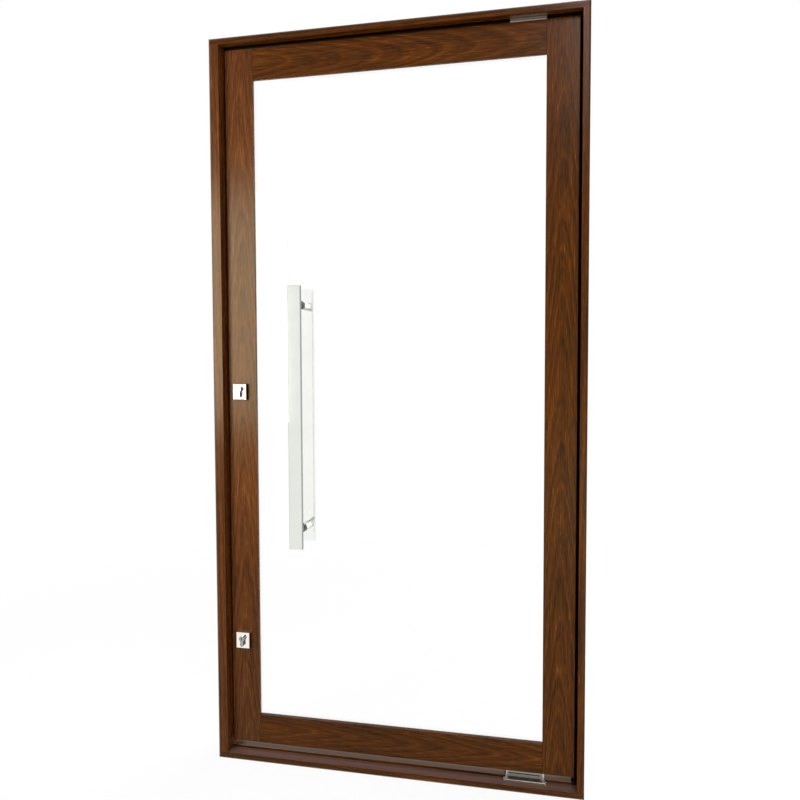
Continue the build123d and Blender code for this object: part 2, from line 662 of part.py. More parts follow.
# Lock stile, with the mortises of both locks and their cylinder holes
with BuildPart() as stile_left:
    stile(LEAF_LEFT, OPEN_LEFT)
    outer = stile_left.edges().filter_by(Axis.Z).group_by(Axis.X)[0]
    chamfer(outer, LEAF_EASE)
    mortises(facing_left, OPEN_LEFT - REBATE)
    edge_groove(facing_right(LEAF_LEFT, BRUSH_OFFSET, LEAF_MIDDLE_Z), LEAF_HEIGHT)
    for lock in LOCKS:
        with BuildSketch(
            facing_right(LEAF_LEFT, 0, (lock.faceplate_bottom + lock.faceplate_top) / 2)
        ):
            Rectangle(
                FACEPLATE_WIDTH + 2 * SCREW_FIT,
                lock.faceplate_top - lock.faceplate_bottom + 2 * SCREW_FIT,
            )
        extrude(amount=FACEPLATE, mode=Mode.SUBTRACT)
        with BuildSketch(facing_right(CASE_LEFT, 0, (lock.case_bottom + lock.case_top) / 2)):
            Rectangle(
                CASE_THICKNESS + 2 * CASE_FIT, lock.case_top - lock.case_bottom + 2 * CASE_FIT
            )
        extrude(amount=CASE_DEPTH + CASE_FIT, mode=Mode.SUBTRACT)
        with BuildSketch(Plane.XZ):
            with Locations((LOCK_X, lock.height)):
                euro_profile(ROSETTE_FIT)
        extrude(amount=LEAF_THICKNESS, both=True, mode=Mode.SUBTRACT)
        faceplate_screw_spots = [
            facing_left(LEAF_LEFT, 0, z)
            for z in (
                lock.faceplate_bottom + 2 * SCREW_HEAD_RADIUS,
                lock.faceplate_top - 2 * SCREW_HEAD_RADIUS,
            )
        ]
        pilot_holes(faceplate_screw_spots, FACE_SCREW)
finish(stile_left, "stile_left")

# Pivot stile
with BuildPart() as stile_right:
    stile(LEAF_RIGHT, OPEN_RIGHT)
    outer = stile_right.edges().filter_by(Axis.Z).group_by(Axis.X)[-1]
    chamfer(outer, LEAF_EASE)
    mortises(facing_right, OPEN_RIGHT + REBATE)
    edge_groove(facing_left(LEAF_RIGHT, 0, LEAF_MIDDLE_Z), LEAF_HEIGHT)
finish(stile_right, "stile_right")


def rail(edge, opening, tenon_z):
    """A rail from the leaf's edge to the glass: long rear shoulders, short front ones, tenons."""
    inward = 1 if opening > edge else -1
    long_left = OPEN_LEFT - REBATE
    long_right = OPEN_RIGHT + REBATE
    with BuildSketch(Plane.YZ.offset(long_left)) as section:
        with BuildLine():
            Polyline(
                (LEAF_FACE, edge),
                (LEAF_FACE, opening),
                (LIP_BACK, opening),
                (LIP_BACK, opening - inward * REBATE),
                (LEAF_BACK, opening - inward * REBATE),
                (LEAF_BACK, edge),
                close=True,
            )
        make_face()
    extrude(section.sketch, amount=long_right - long_left)
    with BuildSketch(Plane.XZ.offset(-LIP_BACK)) as section:
        for x in (long_left + REBATE / 2, long_right - REBATE / 2):
            with Locations((x, (edge + opening) / 2)):
                Rectangle(REBATE, abs(opening - edge))
    extrude(section.sketch, amount=LIP, mode=Mode.SUBTRACT)
    with BuildSketch(Plane.YZ.offset(long_left - TENON_LENGTH)) as section:
        with Locations((TENON_Y, tenon_z)):
            Rectangle(TENON_THICKNESS, TENON_HEIGHT)
    extrude(section.sketch, amount=long_right - long_left + 2 * TENON_LENGTH)


def shoulder_edges(piece):
    """The two front arrises where a rail's face meets the stiles."""
    return piece.faces().sort_by(Axis.Y)[0].edges().filter_by(Axis.Z)


with BuildPart() as rail_bottom:
    rail(LEAF_BOTTOM, OPEN_BOTTOM, TENON_HEIGHTS[0])
    chamfer(shoulder_edges(rail_bottom), SHOULDER_EASE)
    pilot_holes([facing_down(x, y, LEAF_BOTTOM) for x, y in SHOE_SCREW_SPOTS], SHOE_SCREW)
finish(rail_bottom, "rail_bottom")

with BuildPart() as rail_top:
    rail(LEAF_TOP, OPEN_TOP, TENON_HEIGHTS[1])
    chamfer(shoulder_edges(rail_top), SHOULDER_EASE)
    with Locations((PIVOT_X, 0, LEAF_TOP)):
        Hole(radius=BUSH_RADIUS + SEAT_FIT, depth=TOP_PIN_REACH + SHOULDER_EASE)
    pilot_holes([(x, y, LEAF_TOP) for x, y in SHOE_SCREW_SPOTS], SHOE_SCREW - TOP_SHOE)
    with BuildSketch(Plane.XY.offset(LEAF_TOP)):
        with Locations(((LEAF_LEFT + LEAF_RIGHT) / 2, BRUSH_OFFSET)):
            Rectangle(LEAF_RIGHT - LEAF_LEFT, BRUSH_GROOVE_WIDTH)
    extrude(amount=-BRUSH_GROOVE_DEPTH, mode=Mode.SUBTRACT)
finish(rail_top, "rail_top")


def brush(plane, length, reach):
    """A brush strip: its backing in the groove and its pile standing out by its reach."""
    with BuildSketch(plane) as section:
        Rectangle(BRUSH_GROOVE_WIDTH - 2 * BRUSH_FIT, length)
    extrude(section.sketch, amount=-(BRUSH_GROOVE_DEPTH - BRUSH_FIT))
    with BuildSketch(plane) as section:
        Rectangle(BRUSH_PILE, length)
    extrude(section.sketch, amount=reach)


with BuildPart() as brush_left:
    brush(
        facing_left(LEAF_LEFT, BRUSH_OFFSET, LEAF_MIDDLE_Z),
        LEAF_HEIGHT,
        GAP_LOCK - BRUSH_TIP_GAP,
    )
finish(brush_left, "brush_left")

with BuildPart() as brush_right:
    brush(facing_right(LEAF_RIGHT, 0, LEAF_MIDDLE_Z), LEAF_HEIGHT, GAP_PIVOT - BRUSH_TIP_GAP)
finish(brush_right, "brush_right")

RAIL_LEFT = OPEN_LEFT - REBATE
RAIL_RIGHT = OPEN_RIGHT + REBATE
with BuildPart() as brush_top:
    for start, end in (
        (RAIL_LEFT, PIVOT_X - SHOE_LENGTH / 2 - BRUSH_FIT),
        (PIVOT_X + SHOE_LENGTH / 2 + BRUSH_FIT, RAIL_RIGHT),
    ):
        brush(
            Plane(
                origin=((start + end) / 2, BRUSH_OFFSET, LEAF_TOP),
                x_dir=(0, 1, 0),
                z_dir=(0, 0, 1),
            ),
            end - start,
            GAP_TOP - HEAD_STRIP - BRUSH_TIP_GAP,
        )
finish(brush_top, "brush_top")

# Glass pane, drilled for the two studs of the handle
PANE_WIDTH = OPEN_RIGHT - OPEN_LEFT + 2 * (REBATE - GLASS_EDGE_GAP)
PANE_HEIGHT = OPEN_TOP - OPEN_BOTTOM + 2 * (REBATE - GLASS_EDGE_GAP)
OPEN_CENTRE = ((OPEN_LEFT + OPEN_RIGHT) / 2, (OPEN_BOTTOM + OPEN_TOP) / 2)
OPEN_MIDDLE = (OPEN_CENTRE[0], LEAF_BACK, OPEN_CENTRE[1])
STUD_SPOTS = [(BAR_CENTRE_X, z) for z in POST_HEIGHTS]
with BuildPart() as glass_pane:
    with BuildSketch(Plane.XZ.offset(-GLASS_BACK)):
        with Locations(OPEN_CENTRE):
            Rectangle(PANE_WIDTH, PANE_HEIGHT)
        with Locations(*STUD_SPOTS):
            Circle(GLASS_HOLE_RADIUS, mode=Mode.SUBTRACT)
    extrude(amount=GLASS)
finish(glass_pane, "glass_pane")


def gasket_ring(back):
    """A rubber frame round the glass opening, from this plane forward."""
    inner_width = OPEN_RIGHT - OPEN_LEFT + 2 * GASKET_SETBACK
    inner_height = OPEN_TOP - OPEN_BOTTOM + 2 * GASKET_SETBACK
    with BuildSketch(Plane.XZ.offset(-back)) as section:
        with Locations(OPEN_CENTRE):
            Rectangle(inner_width + 2 * GASKET_WIDTH, inner_height + 2 * GASKET_WIDTH)
            Rectangle(inner_width, inner_height, mode=Mode.SUBTRACT)
    extrude(section.sketch, amount=GASKET)


with BuildPart() as glazing_seal_front:
    gasket_ring(GLASS_FRONT)
finish(glazing_seal_front, "glazing_seal_front")

# The rear seal sits under the beads, which are set further back than the front lip
BEAD_EDGE = REBATE - BEAD_WIDTH
with BuildPart() as glazing_seal_rear:
    with BuildSketch(Plane.XZ.offset(-BEAD_FRONT)):
        with Locations(OPEN_CENTRE):
            Rectangle(PANE_WIDTH, PANE_HEIGHT)
            Rectangle(
                OPEN_RIGHT - OPEN_LEFT + 2 * (BEAD_EDGE + GASKET_SETBACK),
                OPEN_TOP - OPEN_BOTTOM + 2 * (BEAD_EDGE + GASKET_SETBACK),
                mode=Mode.SUBTRACT,
            )
    extrude(amount=GASKET)
finish(glazing_seal_rear, "glazing_seal_rear")

# Glazing beads, mitred at the corners, with a sloped inner edge
OUTER_LEFT, OUTER_RIGHT = OPEN_LEFT - REBATE, OPEN_RIGHT + REBATE
OUTER_BOTTOM, OUTER_TOP = OPEN_BOTTOM - REBATE, OPEN_TOP + REBATE
INNER_LEFT, INNER_RIGHT = OUTER_LEFT + BEAD_WIDTH, OUTER_RIGHT - BEAD_WIDTH
INNER_BOTTOM, INNER_TOP = OUTER_BOTTOM + BEAD_WIDTH, OUTER_TOP - BEAD_WIDTH
BEAD_OUTLINES = {
    "bead_left": [
        (OUTER_LEFT, OUTER_BOTTOM),
        (OUTER_LEFT, OUTER_TOP),
        (INNER_LEFT, INNER_TOP),
        (INNER_LEFT, INNER_BOTTOM),
    ],
    "bead_right": [
        (OUTER_RIGHT, OUTER_TOP),
        (OUTER_RIGHT, OUTER_BOTTOM),
        (INNER_RIGHT, INNER_BOTTOM),
        (INNER_RIGHT, INNER_TOP),
    ],
    "bead_top": [
        (OUTER_LEFT, OUTER_TOP),
        (OUTER_RIGHT, OUTER_TOP),
        (INNER_RIGHT, INNER_TOP),
        (INNER_LEFT, INNER_TOP),
    ],
    "bead_bottom": [
        (OUTER_RIGHT, OUTER_BOTTOM),
        (OUTER_LEFT, OUTER_BOTTOM),
        (INNER_LEFT, INNER_BOTTOM),
        (INNER_RIGHT, INNER_BOTTOM),
    ],
}
for bead_name, outline in BEAD_OUTLINES.items():
    with BuildPart() as bead:
        with BuildSketch(Plane.XZ.offset(-LEAF_BACK)):
            with BuildLine():
                Polyline(*outline, close=True)
            make_face()
        extrude(amount=LEAF_BACK - BEAD_FRONT)
        rear_edges = bead.faces().sort_by(Axis.Y)[-1].edges()
        chamfer(rear_edges.sort_by_distance(OPEN_MIDDLE)[0], BEAD_SLOPE)
    finish(bead, bead_name)

# Setting blocks that space the glass in its rebate: two below, two above, two each side
PANE_LEFT, PANE_RIGHT = OPEN_CENTRE[0] - PANE_WIDTH / 2, OPEN_CENTRE[0] + PANE_WIDTH / 2
PANE_BOTTOM, PANE_TOP = OPEN_CENTRE[1] - PANE_HEIGHT / 2, OPEN_CENTRE[1] + PANE_HEIGHT / 2
BLOCK_XS = (PANE_LEFT + BLOCK_INSET, PANE_RIGHT - BLOCK_INSET)
BLOCK_ZS = (PANE_BOTTOM + BLOCK_INSET, PANE_TOP - BLOCK_INSET)
with BuildPart() as setting_blocks:
    with BuildSketch(Plane.XZ.offset(-GLASS_BACK)):
        for z in (PANE_BOTTOM - GLASS_EDGE_GAP / 2, PANE_TOP + GLASS_EDGE_GAP / 2):
            with Locations(*[(x, z) for x in BLOCK_XS]):
                Rectangle(BLOCK_LENGTH, GLASS_EDGE_GAP)
        for x in (PANE_LEFT - GLASS_EDGE_GAP / 2, PANE_RIGHT + GLASS_EDGE_GAP / 2):
            with Locations(*[(x, z) for z in BLOCK_ZS]):
                Rectangle(GLASS_EDGE_GAP, BLOCK_LENGTH)
    extrude(amount=GLASS)
finish(setting_blocks, "setting_blocks")


def lock_case(lock):
    """A mortise lock's case, open behind the faceplate, with its profile holes."""
    height = lock.case_top - lock.case_bottom
    middle = (lock.case_top + lock.case_bottom) / 2
    with BuildSketch(facing_right(CASE_LEFT, 0, middle)) as section:
        Rectangle(CASE_THICKNESS, height)
    extrude(section.sketch, amount=CASE_DEPTH)
    with BuildSketch(facing_right(CASE_LEFT, 0, middle)) as section:
        Rectangle(CASE_THICKNESS - 2 * CASE_WALL, height - 2 * CASE_WALL)
    extrude(section.sketch, amount=CASE_DEPTH - CASE_WALL, mode=Mode.SUBTRACT)
    with BuildSketch(Plane.XZ) as section:
        with Locations((LOCK_X, lock.height)):
            euro_profile(SEAT_FIT)
    extrude(section.sketch, amount=CASE_THICKNESS, both=True, mode=Mode.SUBTRACT)


def faceplate(lock):
    """The plate over a lock's case, slotted for the bolt and bored for the screws."""
    height = lock.faceplate_top - lock.faceplate_bottom
    middle = (lock.faceplate_top + lock.faceplate_bottom) / 2
    with BuildSketch(facing_right(LEAF_LEFT, 0, middle)) as section:
        Rectangle(FACEPLATE_WIDTH, height)
    extrude(section.sketch, amount=FACEPLATE)
    with BuildSketch(facing_right(LEAF_LEFT, 0, lock.bolt_z)) as section:
        Rectangle(BOLT_THICKNESS + 2 * BOLT_FIT, BOLT_HEIGHT + 2 * BOLT_FIT)
    extrude(section.sketch, amount=FACEPLATE, mode=Mode.SUBTRACT)
    with Locations(facing_left(LEAF_LEFT, 0, lock.height - CYLINDER_SCREW_DROP)):
        Hole(radius=CYLINDER_SCREW_RADIUS + SCREW_FIT, depth=FACEPLATE)
    screw_holes(
        [
            facing_left(LEAF_LEFT, 0, z)
            for z in (
                lock.faceplate_bottom + 2 * SCREW_HEAD_RADIUS,
                lock.faceplate_top - 2 * SCREW_HEAD_RADIUS,
            )
        ],
        FACEPLATE,
    )


def bolt(lock):
    """A square dead bolt, drawn back, its nose just inside the faceplate."""
    with BuildSketch(facing_right(LEAF_LEFT + BOLT_RECESS, 0, lock.bolt_z)) as section:
        Rectangle(BOLT_THICKNESS, BOLT_HEIGHT)
    extrude(section.sketch, amount=BOLT_LENGTH)


def profile_cylinder(lock):
    """A double profile cylinder: bored for its plugs, slotted for its cam."""
    with BuildSketch(Plane.XZ) as section:
        with Locations((LOCK_X, lock.height)):
            euro_profile()
    extrude(section.sketch, amount=CYLINDER_HALF, both=True)
    with BuildSketch(Plane.XZ) as section:
        with Locations((LOCK_X, lock.height)):
            Circle(PLUG_RADIUS + RUNNING_FIT)
    extrude(section.sketch, amount=CYLINDER_HALF, both=True, mode=Mode.SUBTRACT)
    with BuildSketch(Plane.XZ) as section:
        with Locations((LOCK_X, lock.height)):
            Circle(CAM_RADIUS + CAM_SIDE_GAP)
    extrude(section.sketch, amount=CAM_WIDTH / 2 + CAM_SIDE_GAP, both=True, mode=Mode.SUBTRACT)
    with Locations(
        facing_left(LOCK_X - CYLINDER_WEB / 2, 0, lock.height - CYLINDER_SCREW_DROP)
    ):
        Hole(radius=CYLINDER_SCREW_RADIUS + SCREW_FIT, depth=CYLINDER_WEB)


def plugs(lock):
    """The two plugs of a cylinder, one from each side, each with its key slot."""
    inner_end = CAM_WIDTH / 2 + CAM_SIDE_GAP
    for outward in (1, -1):
        with BuildSketch(Plane.XZ.offset(outward * inner_end)) as section:
            with Locations((LOCK_X, lock.height)):
                Circle(PLUG_RADIUS)
        extrude(section.sketch, amount=outward * (CYLINDER_HALF - inner_end))
        with BuildSketch(Plane.XZ.offset(outward * CYLINDER_HALF)) as section:
            with Locations((LOCK_X, lock.height)):
                Rectangle(KEY_SLOT_WIDTH, KEY_SLOT_HEIGHT)
        extrude(section.sketch, amount=-outward * KEY_SLOT_DEPTH, mode=Mode.SUBTRACT)


def cam(lock):
    """The cam between the plugs, its nose hanging down at rest."""
    with BuildSketch(Plane.XZ) as section:
        with Locations((LOCK_X, lock.height)):
            Circle(CAM_RADIUS)
            Rectangle(CAM_NOSE_WIDTH, 2 * CAM_RADIUS, mode=Mode.INTERSECT)
        with Locations((LOCK_X, lock.height + CAM_RADIUS / 2)):
            Rectangle(2 * CAM_RADIUS, CAM_RADIUS, mode=Mode.SUBTRACT)
        with Locations((LOCK_X, lock.height)):
            Circle(CAM_HUB_RADIUS)
    extrude(section.sketch, amount=CAM_WIDTH / 2, both=True)


def rosettes(lock):
    """A rectangular escutcheon on each face of the stile, cut for the cylinder."""
    for outward in (1, -1):
        with BuildSketch(Plane.XZ.offset(outward * LEAF_BACK)) as section:
            with Locations((LOCK_X, lock.height - ROSETTE_DROP)):
                Rectangle(ROSETTE_WIDTH, ROSETTE_HEIGHT)
        extrude(section.sketch, amount=outward * ROSETTE_THICKNESS)
    for face in (
        faces().sort_by(Axis.Y)[0],
        faces().sort_by(Axis.Y)[-1],
    ):
        chamfer(face.edges(), ROSETTE_CHAMFER)
    with BuildSketch(Plane.XZ) as section:
        with Locations((LOCK_X, lock.height)):
            euro_profile(ROSETTE_FIT)
    extrude(section.sketch, amount=LEAF_BACK + ROSETTE_THICKNESS, both=True, mode=Mode.SUBTRACT)


for prefix, lock in (("upper", upper_lock), ("lower", lower_lock)):
    with BuildPart() as case:
        lock_case(lock)
    finish(case, f"{prefix}_lock_case")
    with BuildPart() as plate:
        faceplate(lock)
        if lock.has_catch:
            with Locations(facing_left(LEAF_LEFT, 0, lock.catch_z)):
                Hole(radius=CATCH_RADIUS + BOLT_FIT, depth=FACEPLATE)
    finish(plate, f"{prefix}_faceplate")
    with BuildPart() as dead_bolt:
        bolt(lock)
        nose = dead_bolt.faces().sort_by(Axis.X)[0]
        chamfer(nose.edges(), SHOULDER_EASE)
    finish(dead_bolt, f"{prefix}_bolt")
    with BuildPart() as cylinder:
        profile_cylinder(lock)
    finish(cylinder, f"{prefix}_cylinder")
    with BuildPart() as pair:
        plugs(lock)
    finish(pair, f"{prefix}_plugs")
    with BuildPart() as key_cam:
        cam(lock)
    finish(key_cam, f"{prefix}_cam")
    with BuildPart() as escutcheons:
        rosettes(lock)
    finish(escutcheons, f"{prefix}_rosettes")

# Sprung catch of the upper lock, its bevelled nose standing out of the leaf's edge
with BuildPart() as spring_catch:
    with BuildSketch(facing_right(LEAF_LEFT - CATCH_PROUD, 0, upper_lock.catch_z)):
        Circle(CATCH_RADIUS)
    extrude(amount=CATCH_LENGTH)
    chamfer(spring_catch.faces().sort_by(Axis.X)[0].edges(), CATCH_NOSE)
finish(spring_catch, "spring_catch")

# Screws that hold the faceplates, and the long ones that hold the cylinders
face_screw = wood_screw(FACE_SCREW)
with BuildPart() as faceplate_screws:
    for lock in LOCKS:
        with Locations(
            facing_left(LEAF_LEFT, 0, lock.faceplate_bottom + 2 * SCREW_HEAD_RADIUS),
            facing_left(LEAF_LEFT, 0, lock.faceplate_top - 2 * SCREW_HEAD_RADIUS),
        ):
            add(face_screw)
finish(faceplate_screws, "faceplate_screws")

with BuildPart() as cylinder_screws:
    for lock in LOCKS:
        with BuildSketch(facing_right(LEAF_LEFT, 0, lock.height - CYLINDER_SCREW_DROP)):
            Circle(CYLINDER_SCREW_RADIUS)
        extrude(amount=BACKSET + CYLINDER_WEB / 2)
finish(cylinder_screws, "cylinder_screws")

# Strikes: a flush plate and a steel box behind it for each bolt
for prefix, lock in (("upper", upper_lock), ("lower", lower_lock)):
    with BuildPart() as strike:
        with BuildSketch(
            facing_left(LOCK_FACE, 0, (lock.strike_top + lock.strike_bottom) / 2)
        ):
            Rectangle(STRIKE_WIDTH, lock.strike_top - lock.strike_bottom)
        extrude(amount=STRIKE_PLATE)
        with BuildSketch(facing_left(LOCK_FACE, 0, lock.bolt_z)):
            Rectangle(BOLT_THICKNESS + 2 * STRIKE_ROOM, BOLT_HEIGHT + 2 * STRIKE_ROOM)
        extrude(amount=STRIKE_PLATE, mode=Mode.SUBTRACT)
        if lock.has_catch:
            with Locations(facing_right(LOCK_FACE, 0, lock.catch_z)):
                Hole(radius=CATCH_RADIUS + CATCH_ROOM, depth=STRIKE_PLATE)
        screw_holes(
            [
                facing_right(LOCK_FACE, 0, lock.strike_bottom + 2 * SCREW_HEAD_RADIUS),
                facing_right(LOCK_FACE, 0, lock.strike_top - 2 * SCREW_HEAD_RADIUS),
            ],
            STRIKE_PLATE,
        )
    finish(strike, f"{prefix}_strike_plate")

with BuildPart() as strike_boxes:
    for lock in LOCKS:
        room = 2 * STRIKE_ROOM
        wall = 2 * STRIKE_BOX_WALL
        with BuildSketch(facing_left(LOCK_FACE - STRIKE_PLATE, 0, lock.bolt_z)):
            Rectangle(BOLT_THICKNESS + room + wall, BOLT_HEIGHT + room + wall)
        extrude(amount=STRIKE_BOX_DEPTH + STRIKE_BOX_WALL)
        with BuildSketch(facing_left(LOCK_FACE - STRIKE_PLATE, 0, lock.bolt_z)):
            Rectangle(BOLT_THICKNESS + room, BOLT_HEIGHT + room)
        extrude(amount=STRIKE_BOX_DEPTH, mode=Mode.SUBTRACT)
finish(strike_boxes, "strike_boxes")

strike_screw = wood_screw(STRIKE_SCREW)
with BuildPart() as strike_screws:
    for lock in LOCKS:
        with Locations(
            facing_right(LOCK_FACE, 0, lock.strike_bottom + 2 * SCREW_HEAD_RADIUS),
            facing_right(LOCK_FACE, 0, lock.strike_top - 2 * SCREW_HEAD_RADIUS),
        ):
            add(strike_screw)
finish(strike_screws, "strike_screws")

# Pull handle: a flat bar with two posts on each side of the glass
for bar_name, glass_face, outward in (
    ("handle_bar_front", GLASS_FRONT, -1),
    ("handle_bar_rear", GLASS_BACK, 1),
):
    with BuildPart() as bar:
        with BuildSketch(Plane.XZ.offset(-(glass_face + outward * STANDOFF))):
            with Locations((BAR_CENTRE_X, BAR_CENTRE_Z)):
                Rectangle(BAR_WIDTH, BAR_LENGTH)
        extrude(amount=-outward * BAR_THICKNESS)
        chamfer(bar.edges(), BAR_EASE)
    finish(bar, bar_name)

with BuildPart() as handle_posts:
    for glass_face, outward in ((GLASS_FRONT, -1), (GLASS_BACK, 1)):
        with BuildSketch(Plane.XZ.offset(-(glass_face + outward * WASHER))):
            with Locations(*STUD_SPOTS):
                Circle(POST_RADIUS)
        extrude(amount=-outward * (STANDOFF - WASHER))
        with BuildSketch(Plane.XZ.offset(-(glass_face + outward * WASHER))):
            with Locations(*STUD_SPOTS):
                Circle(STUD_RADIUS + SEAT_FIT)
        extrude(amount=-outward * (STUD_REACH - WASHER), mode=Mode.SUBTRACT)
finish(handle_posts, "handle_posts")

# Nylon bushes between posts and glass, each with a spigot that fills half of the hole
with BuildPart() as handle_bushes:
    for glass_face, outward in ((GLASS_FRONT, -1), (GLASS_BACK, 1)):
        with BuildSketch(Plane.XZ.offset(-glass_face)):
            with Locations(*STUD_SPOTS):
                Circle(POST_RADIUS)
        extrude(amount=-outward * WASHER)
        with BuildSketch(Plane.XZ.offset(-glass_face)):
            with Locations(*STUD_SPOTS):
                Circle(GLASS_HOLE_RADIUS - SLEEVE_FIT)
        extrude(amount=outward * (GLASS / 2 - SLEEVE_FIT))
    with BuildSketch(Plane.XZ.offset(-(GLASS_BACK + WASHER))):
        with Locations(*STUD_SPOTS):
            Circle(STUD_RADIUS + SLEEVE_FIT)
    extrude(amount=GLASS + 2 * WASHER, mode=Mode.SUBTRACT)
finish(handle_bushes, "handle_bushes")

with BuildPart() as handle_studs:
    with BuildSketch(Plane.XZ.offset(-(GLASS_BACK + STUD_REACH))):
        with Locations(*STUD_SPOTS):
            Circle(STUD_RADIUS)
    extrude(amount=GLASS + 2 * STUD_REACH)
finish(handle_studs, "handle_studs")
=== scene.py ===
import math

import bpy
from mathutils import Matrix, Vector

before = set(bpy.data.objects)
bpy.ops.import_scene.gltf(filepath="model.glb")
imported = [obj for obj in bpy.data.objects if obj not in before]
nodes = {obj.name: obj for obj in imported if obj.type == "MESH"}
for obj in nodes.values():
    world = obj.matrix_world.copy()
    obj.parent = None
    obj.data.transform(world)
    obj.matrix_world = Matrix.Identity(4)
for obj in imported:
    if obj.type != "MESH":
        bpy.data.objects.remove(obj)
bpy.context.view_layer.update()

scene = bpy.context.scene
scene.view_settings.view_transform = "Standard"

MM = 0.001


def linear(hex_colour):
    """An sRGB hex colour as linear red, green, blue and alpha."""
    values = [int(hex_colour[i : i + 2], 16) / 255 for i in (1, 3, 5)]
    return tuple(v / 12.92 if v <= 0.04045 else ((v + 0.055) / 1.055) ** 2.4 for v in values) + (1,)


def add(tree, kind, inputs=None, stops=None, **settings):
    """Adds a node, sets its properties, and gives its inputs their values or links.

    The stops of a colour ramp are pairs of a position and an sRGB hex colour.
    """
    node = tree.nodes.new(kind)
    for name, value in settings.items():
        setattr(node, name, value)
    for name, value in (inputs or {}).items():
        if isinstance(value, bpy.types.NodeSocket):
            tree.links.new(value, node.inputs[name])
        else:
            node.inputs[name].default_value = value
    for index, (position, colour) in enumerate(stops or ()):
        if index >= len(node.color_ramp.elements):
            node.color_ramp.elements.new(position)
        node.color_ramp.elements[index].position = position
        node.color_ramp.elements[index].color = linear(colour)
    return node


def new_material(name):
    """A material whose tree holds only its Principled shader and its output."""
    material = bpy.data.materials.new(name)
    material.use_nodes = True
    tree = material.node_tree
    tree.nodes.clear()
    shader = add(tree, "ShaderNodeBsdfPrincipled")
    add(tree, "ShaderNodeOutputMaterial", {"Surface": shader.outputs["BSDF"]})
    return material, tree, shader


def seen_rays(tree):
    """1 for the rays that show a surface, from the camera, off gloss or through glass, else 0."""
    path = add(tree, "ShaderNodeLightPath").outputs
    seen = path["Is Camera Ray"]
    for ray in (path["Is Glossy Ray"], path["Is Transmission Ray"]):
        seen = add(tree, "ShaderNodeMath", {0: seen, 1: ray}, operation="MAXIMUM").outputs["Value"]
    return seen


def dress(material, *names):
    """Gives a material to CAD nodes or pieces, in every slot they have."""
    for name in names:
        piece = nodes[name] if isinstance(name, str) else name
        if not piece.data.materials:
            piece.data.materials.append(material)
        for index in range(len(piece.data.materials)):
            piece.data.materials[index] = material


# Crown-cut walnut under satin varnish. Each board is sawn near its log's pith, so the growth rings
# come out as tall pointed arches, dark on one edge and golden inside, between straight grain.
RING = 14.0 * MM  # bands of growth rings
FINE_RING = 3.4 * MM  # rings inside a band, really nearer 1 mm
UNEVEN_RING = 3.1 * RING  # over how much radius the bands grow wider or narrower
STREAK, STREAK_LENGTH = 3.2 * MM, 190 * MM  # bundles of fibres
PORE, PORE_LENGTH = 2.0 * MM, 32 * MM  # rows of open pores, each pore really 0.2 mm wide
CLOUD, CLOUD_LENGTH = 38 * MM, 240 * MM  # slow changes of tone
BEND, BEND_LENGTH, BEND_REACH = 90 * MM, 420 * MM, 26 * MM  # how the trunk bent as it grew
RIPPLE, RIPPLE_LENGTH, RIPPLE_REACH = 30 * MM, 70 * MM, 6 * MM  # how its fibres wander
DARKEST_FIGURE, PALEST_FIGURE = 0.71, 1.48  # the sums that give the first and the last tone
TONE_STOPS = (0.0, 0.35, 0.65, 1.0)
ARRIS, FLAT_FACE = 0.75, 0.95  # the most that an arris, and the least that a face, looks one way
UP_A_LITTLE, UP_FULLY = 0.3, 0.9  # how far up a face looks where the painted sheen begins, and where it is full
DOWN = -0.5  # faces that look further down than this take the painted shade under the head
# A pale grey brown for the painted sheen on faces that look up, and a near black for the painted
# shade on faces that look down under the head
SHEEN_TONE, PAINTED_SHADE = linear("#7b6052"), linear("#0c0604")
VARNISH_SMOOTH, VARNISH_ROUGH = 0.21, 0.30  # its roughness, which wanders with the pores
GRAIN_RELIEF = 0.12 * MM  # how deep the varnish sinks into the grain
SOFT_BUMP = 0.25  # the strength of the wood's and the metals' relief


